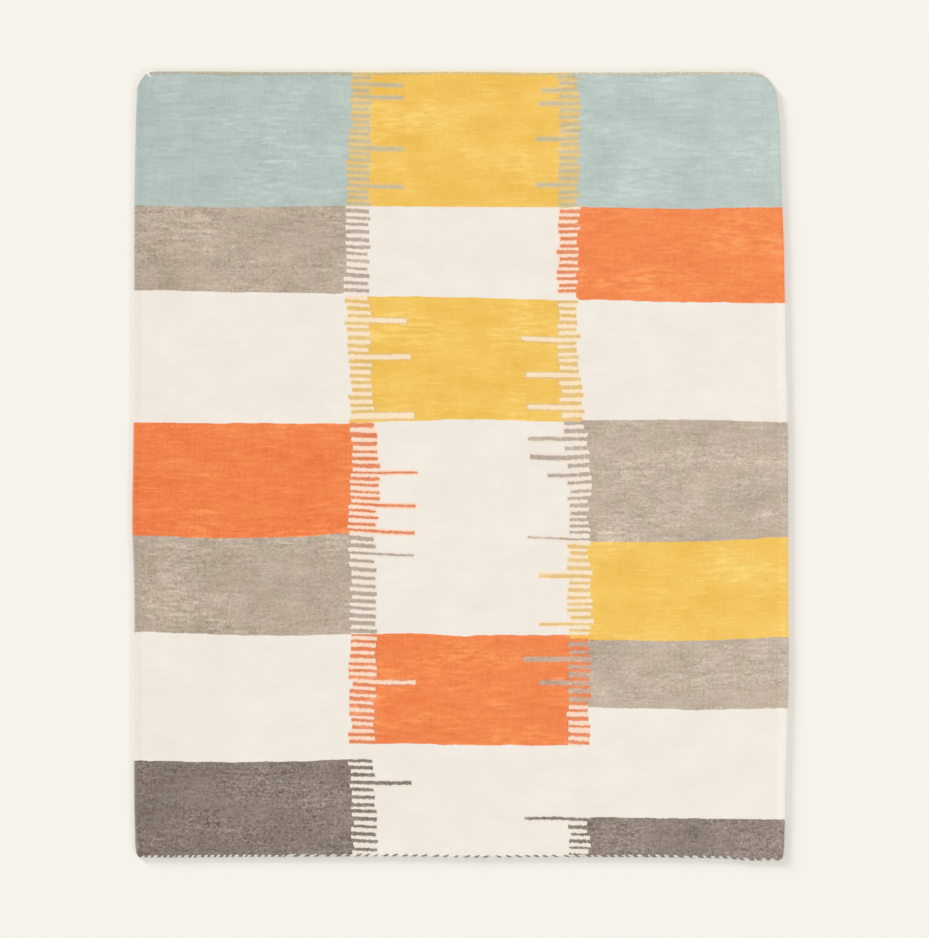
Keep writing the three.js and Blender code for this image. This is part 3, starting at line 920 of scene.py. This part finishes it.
# Where there is less dye, a yellow gains most in its blue part and hardly in its red, and so on for
# each dye
dye_parts = add_node(tree, "VectorMath", {0: dye.outputs["Color"], "Scale": DYE_RANGE}, operation="SCALE")
tones_even = add_node(tree, "VectorMath", [tones, (1, 1, 1)], operation="SUBTRACT")
dye_tones = add_node(tree, "VectorMath", [tones_even, dye_parts, (1, 1, 1)], operation="MULTIPLY_ADD")
# Near a join each yarn is also darkened in step with its tint: painted shade, as between the two yarns of
# the join
join_painted_shade = add_node(tree, "Math", [mingling, -JOIN_SHADE, 1.0], operation="MULTIPLY_ADD")
joined = add_node(tree, "VectorMath", {0: tinted.outputs[1], "Scale": join_painted_shade}, operation="SCALE")
toned = add_node(tree, "VectorMath", [joined, dye_tones], operation="MULTIPLY")

# Along the left selvedge the wool is mixed towards grey, most on the outermost turn: on the pale yarns this
# is painted shade, which holds down the bright rim that the low lamp at the top left lights there, and the
# dark yarns are made paler towards the edge
from_left = add_node(tree, "Math", [place.outputs["X"], EDGE_GREY_WIDTH], operation="DIVIDE")
edge_grey_stops = [
    (0.0, linear("A39B90")[:3] + [0.7]),
    (0.05, linear("C0B8AC")[:3] + [0.5]),
    (0.09, linear("E0DBD2")[:3] + [0.22]),
    (0.5, linear("E0DBD2")[:3] + [0.0]),
]
edge_grey = fill_ramp(add_node(tree, "ValToRGB", [from_left]), "LINEAR", edge_grey_stops)
edge_grey_wool = add_node(
    tree, "Mix",
    {"Factor": edge_grey.outputs["Alpha"], 4: toned, 5: edge_grey.outputs["Color"]}, data_type="VECTOR",
)
wool_colour = add_node(tree, "VectorMath", [edge_grey_wool.outputs[1], WHITEST_WOOL], operation="MINIMUM")
tree.links.new(wool_colour.outputs[0], wool_shader.inputs["Base Color"])
print("wool coloured,", len(tree.nodes), "nodes")

# %% [markdown]
# Each bead of wool is a small round pillow between the grooves of its warp, and stray fibres fuzz its
# surface. That is finer than the mesh can hold, so it is a bump, in step with the ribs of the mesh.
# Wool is matte, with a faint sheen from the fibres that stand up.

# %% Relief and finish of the wool
BEAD_RELIEF = 0.35 * MM

arch_x = add_node(tree, "Math", [bead_x, 0.5], operation="PINGPONG")
arch_y = add_node(tree, "Math", [bead_y, 0.5], operation="PINGPONG")
round_x = add_node(
    tree, "MapRange",
    {"Value": arch_x, "From Min": -0.1, "From Max": 0.5}, interpolation_type="SMOOTHERSTEP",
)
round_y = add_node(
    tree, "MapRange",
    {"Value": arch_y, "From Min": -0.2, "From Max": 0.45, "To Min": 0.55},
    interpolation_type="SMOOTHERSTEP",
)
pillow = add_node(tree, "Math", [round_x, round_y], operation="MULTIPLY")
fuzz = add_node(
    tree, "TexNoise",
    {"Vector": weave.outputs["UV"], "Scale": 1500.0, "Detail": 2.0}, noise_dimensions="2D",
)
bead_height = add_node(tree, "Math", [fuzz, 0.25, pillow], operation="MULTIPLY_ADD")
relief = add_node(tree, "Bump", {"Height": bead_height, "Strength": 0.4, "Distance": BEAD_RELIEF})
tree.links.new(relief.outputs["Normal"], wool_shader.inputs["Normal"])
wool_shader.inputs["Roughness"].default_value = 0.92
wool_shader.inputs["Specular IOR Level"].default_value = 0.2
wool_shader.inputs["Sheen Weight"].default_value = 0.08
wool_shader.inputs["Sheen Roughness"].default_value = 0.6
cloth.data.materials.append(wool)
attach(cloth, "root")
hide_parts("cloth")
print("wool finished,", len(tree.nodes), "nodes")

# %% [markdown]
# Both ends are oversewn: a doubled yarn goes round the cloth's edge again and again, slanting, and two
# yarns take turns. One stitch is modelled once, as a flattened strand that starts under the edge, bends
# over it and dives into the cloth. A cylinder with a few cuts along it gives the strand its rings, and
# a short table says where each ring lies.

# %% One stitch
STITCH_SIDES = 8
# Path of the strand over the edge: how far from the outline and from the floor each ring lies, in
# millimetres, and the ring's share of the strand's full width and of its full thickness
STITCH_PATH = [
    (2.4, 0.55, 0.6, 0.8),
    (1.1, 0.65, 0.8, 0.9),
    (0.4, 1.7, 0.9, 1.0),
    (0.4, 3.4, 0.95, 1.0),
    (0.9, 3.85, 1.0, 1.0),
    (1.8, 3.95, 1.0, 1.0),
    (4.6, 3.97, 0.95, 1.0),
    (6.9, 3.87, 0.8, 0.9),
    (8.2, 3.7, 0.4, 0.6),
]
STITCH_THICKNESS = 0.6

bpy.ops.object.select_all(action="DESELECT")
bpy.ops.mesh.primitive_cylinder_add(vertices=STITCH_SIDES, radius=0.5, depth=1, location=(0, 0, 0))
stitch = bpy.context.object
stitch.name = "stitch"
bpy.ops.object.mode_set(mode="EDIT")
bpy.ops.mesh.select_mode(type="EDGE")
bpy.ops.mesh.select_all(action="DESELECT")
bpy.ops.object.mode_set(mode="OBJECT")
for edge in stitch.data.edges:
    low, high = [stitch.data.vertices[corner].co for corner in edge.vertices]
    edge.select = abs(low.z - high.z) > 0.5
bpy.ops.object.mode_set(mode="EDIT")
bpy.ops.mesh.subdivide(number_cuts=len(STITCH_PATH) - 2)
bpy.ops.object.mode_set(mode="OBJECT")

path = np.array(STITCH_PATH)[:, :2]
ahead = np.gradient(path, axis=0)
ahead /= np.linalg.norm(ahead, axis=1, keepdims=True)
stitch_points = []
for vertex in stitch.data.vertices:
    ring = round((vertex.co.z + 0.5) * (len(STITCH_PATH) - 1))
    _, _, width_share, thickness_share = STITCH_PATH[ring]
    lift = vertex.co.y * STITCH_THICKNESS * thickness_share
    inward = path[ring, 0] - ahead[ring, 1] * lift
    height = path[ring, 1] + ahead[ring, 0] * lift
    stitch_points.append([vertex.co.x * width_share, inward * MM, height * MM])
stitch_points = np.array(stitch_points)
stitch.data.vertices.foreach_set("co", stitch_points.astype(np.float32).ravel())
stitch.data.update()
print("stitch", len(stitch.data.polygons), "faces")

# %% [markdown]
# The stitches are then copied along the two ends. The photograph shows that their spacing changes along
# the way, and that they lean one way on the left and the other way on the right. A short table says so
# for each end. In every repeat a coloured strand takes its turn, and pale strands fill the rest of the
# repeat.

# %% Rows of stitches
RANDOM = random.Random(11)
STITCH_REACH = 8.2 * MM
# From here inward a strand's own reach counts
REACH_FROM = 1.6 * MM
SEAM_START = 3 * MM
SEAM_END = 6 * MM
# By what share of themselves repeats, strands and their reach differ, and how much a strand lies lower
# or higher
REPEAT_SPREAD = 0.15
STRAND_SPREAD = 0.3
REACH_SPREAD = 0.2
LIFT_SPREAD = (-0.02, 0.04)
PALE_OVERLAP = 1.04
# One repeat of the two yarns, by its distance from the left corner, in millimetres: its length along
# the edge, how far the strands run along the edge on their way in, how wide the coloured strand is,
# what share of the full reach either yarn has, and into how many strands the pale yarn is divided
SPACING = {
    "bottom": [
        {"from": 0, "repeat": 14, "run": 7, "coloured": 6.5, "reach": (0.75, 0.5), "pale": 1},
        {"from": 310, "repeat": 22, "run": 14, "coloured": 9.5, "reach": (0.5, 0.6), "pale": 2},
        {"from": 765, "repeat": 22, "run": -14, "coloured": 8.5, "reach": (0.5, 0.6), "pale": 2},
        {"from": 960, "repeat": 19, "run": -9, "coloured": 9, "reach": (0.75, 0.5), "pale": 1},
    ],
    "top": [
        {"from": 0, "repeat": 15, "run": 4, "coloured": 1.6, "reach": (0.8, 1.1), "pale": 3},
        {"from": 110, "repeat": 15, "run": 4, "coloured": 4, "reach": (1.1, 1.1), "pale": 3},
        {"from": 478, "repeat": 17, "run": 4, "coloured": 4, "reach": (0.95, 0.9), "pale": 3},
        {"from": 960, "repeat": 17, "run": -3, "coloured": 4, "reach": (1.05, 1.1), "pale": 4},
    ],
}


def place_strand(end, start, width, run, reach):
    """One stitch as points in the frame: start and width are measured along the end, in metres."""
    share_size = row_width(np.array(start / WIDTH)) / ROW_WIDTH
    inward = stitch_points[:, 1] * share_size
    inward = np.where(inward > REACH_FROM, REACH_FROM + (inward - REACH_FROM) * reach, inward)
    run_here = run * share_size
    along = start + stitch_points[:, 0] * width + run_here * (inward / STITCH_REACH - 0.5)
    share = np.clip(along / WIDTH, 0, 1)
    outline = end_line(end, share) + way_out(end, share) * outline_beyond(end, share)[:, None]
    place = outline - way_out(end, share) * inward[:, None]
    lifted = stitch_points[:, 2] * (1 + RANDOM.uniform(*LIFT_SPREAD))
    return np.column_stack([place, lifted])


def join_strands(name, strands):
    """Strands of one yarn as one piece, each a copy of the stitch moved to its own points."""
    copies = []
    for points in strands:
        copy = stitch.copy()
        copy.data = stitch.data.copy()
        scene.collection.objects.link(copy)
        copy.data.vertices.foreach_set("co", points.astype(np.float32).ravel())
        copies.append(copy)
    bpy.ops.object.select_all(action="DESELECT")
    for copy in copies:
        copy.select_set(True)
    bpy.context.view_layer.objects.active = copies[0]
    if len(copies) > 1:
        bpy.ops.object.join()
    piece = bpy.context.object
    piece.name = name
    bpy.ops.object.mode_set(mode="EDIT")
    bpy.ops.mesh.select_all(action="SELECT")
    bpy.ops.mesh.normals_make_consistent(inside=False)
    bpy.ops.object.mode_set(mode="OBJECT")
    bpy.ops.object.shade_smooth()
    print(name, len(strands), "strands,", len(piece.data.polygons), "faces")
    return piece


def vary(value, spread):
    """The value, larger or smaller by up to this share of it."""
    return value * RANDOM.uniform(1 - spread, 1 + spread)


def sew(end, coloured_name, pale_name):
    """Both yarns of one end, each as one joined piece."""
    sewn = {coloured_name: [], pale_name: []}
    start = SEAM_START
    while start < WIDTH - SEAM_END:
        row = [row for row in SPACING[end] if row["from"] * MM <= start][-1]
        repeat = vary(row["repeat"], REPEAT_SPREAD) * MM
        coloured = vary(row["coloured"], STRAND_SPREAD) * MM
        run = vary(row["run"], STRAND_SPREAD) * MM
        reach = vary(row["reach"][0], REACH_SPREAD)
        sewn[coloured_name].append(place_strand(end, start + coloured / 2, coloured, run, reach))
        pale = (repeat - coloured) / row["pale"]
        for turn in range(row["pale"]):
            middle = start + coloured + pale * (turn + 0.5)
            reach = vary(row["reach"][1], REACH_SPREAD)
            sewn[pale_name].append(place_strand(end, middle, pale * PALE_OVERLAP, run, reach))
        start += repeat
    return [join_strands(name, strands) for name, strands in sewn.items()]


bottom_pieces = sew("bottom", "bottom_dark_stitches", "bottom_cream_stitches")
top_pieces = sew("top", "top_straw_stitches", "top_grey_stitches")
# The end of a white thread lies slanting over the top left corner
corner_strands = [place_strand("top", start=13.5 * MM, width=5.5 * MM, run=6 * MM, reach=3.6)]
top_pieces.append(join_strands("top_corner_thread", corner_strands))
bpy.data.objects.remove(stitch)

# %% [markdown]
# The sewing yarn is wool too, two strands twisted together. Its colours are those of the blocks at that end,
# a little greyer. A slanting wave across each strand gives the twist, as a bump and as painted shade in the
# grooves between the plies, and a soft noise the spun fibres.

# %% Sewing yarns
YARN_CHANGES = (0, 0.335, 0.665)
# The colours of a yarn on the left, in the middle and on the right, where the maker changed it with the
# block
SEWING_YARNS = {
    "bottom_dark_stitches": ("80766E", "8B8279", "8A8078"),
    "bottom_cream_stitches": ("D9D6CD", "EFE8DD", "D9D6CD"),
    "top_straw_stitches": ("CAC292", "EAD28C", "D8D3A4"),
    "top_grey_stitches": ("BFBAAD", "E0CC9C", "D0CABE"),
    "top_corner_thread": ("F6F2EA", "F6F2EA", "F6F2EA"),
}


def sewing_wool(name, colours):
    """Plied wool yarn in the colours that it has on the left, in the middle and on the right."""
    material, shader = make_material(name.replace("_stitches", "") + " plied wool")
    tree = material.node_tree
    place = add_node(tree, "TexCoord")
    twist = add_node(
        tree, "TexWave",
        {"Vector": place.outputs["Object"], "Scale": 110.0, "Distortion": 2.0, "Detail": 1.0},
        wave_type="BANDS", bands_direction="DIAGONAL",
    )
    fibre = add_node(tree, "TexNoise", {"Vector": place.outputs["Object"], "Scale": 200.0, "Detail": 4.0})
    fibre_tone = add_node(
        tree, "MapRange",
        {"Value": fibre, "From Min": 0.3, "From Max": 0.7, "To Min": 0.84, "To Max": 1.16},
    )
    # The low parts of the wave, the grooves between the plies, are painted a little darker as shade
    twist_painted_shade = add_node(tree, "MapRange", {"Value": twist.outputs["Fac"], "To Min": 0.94, "To Max": 1.0})
    tone = add_node(tree, "Math", [fibre_tone, twist_painted_shade], operation="MULTIPLY")
    place_parts = add_node(tree, "SeparateXYZ", [place.outputs["Object"]])
    share_across = add_node(
        tree, "Math", [place_parts.outputs["X"], 1 / WIDTH, 0.5], operation="MULTIPLY_ADD"
    )
    stops = [(start, linear(colour)) for start, colour in zip(YARN_CHANGES, colours)]
    colour = fill_ramp(add_node(tree, "ValToRGB", [share_across]), "CONSTANT", stops)
    toned = add_node(tree, "VectorMath", {0: colour.outputs["Color"], "Scale": tone}, operation="SCALE")
    relief = add_node(tree, "Bump", {"Height": twist.outputs["Fac"], "Strength": 0.5, "Distance": 0.4 * MM})
    tree.links.new(toned.outputs[0], shader.inputs["Base Color"])
    tree.links.new(relief.outputs["Normal"], shader.inputs["Normal"])
    shader.inputs["Roughness"].default_value = 0.9
    shader.inputs["Specular IOR Level"].default_value = 0.2
    return material


for end, pieces in (("bottom", bottom_pieces), ("top", top_pieces)):
    for piece in pieces:
        piece.data.materials.clear()
        piece.data.materials.append(sewing_wool(piece.name, SEWING_YARNS[piece.name]))
        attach(piece, "root")
        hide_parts("end_stitches_" + end)
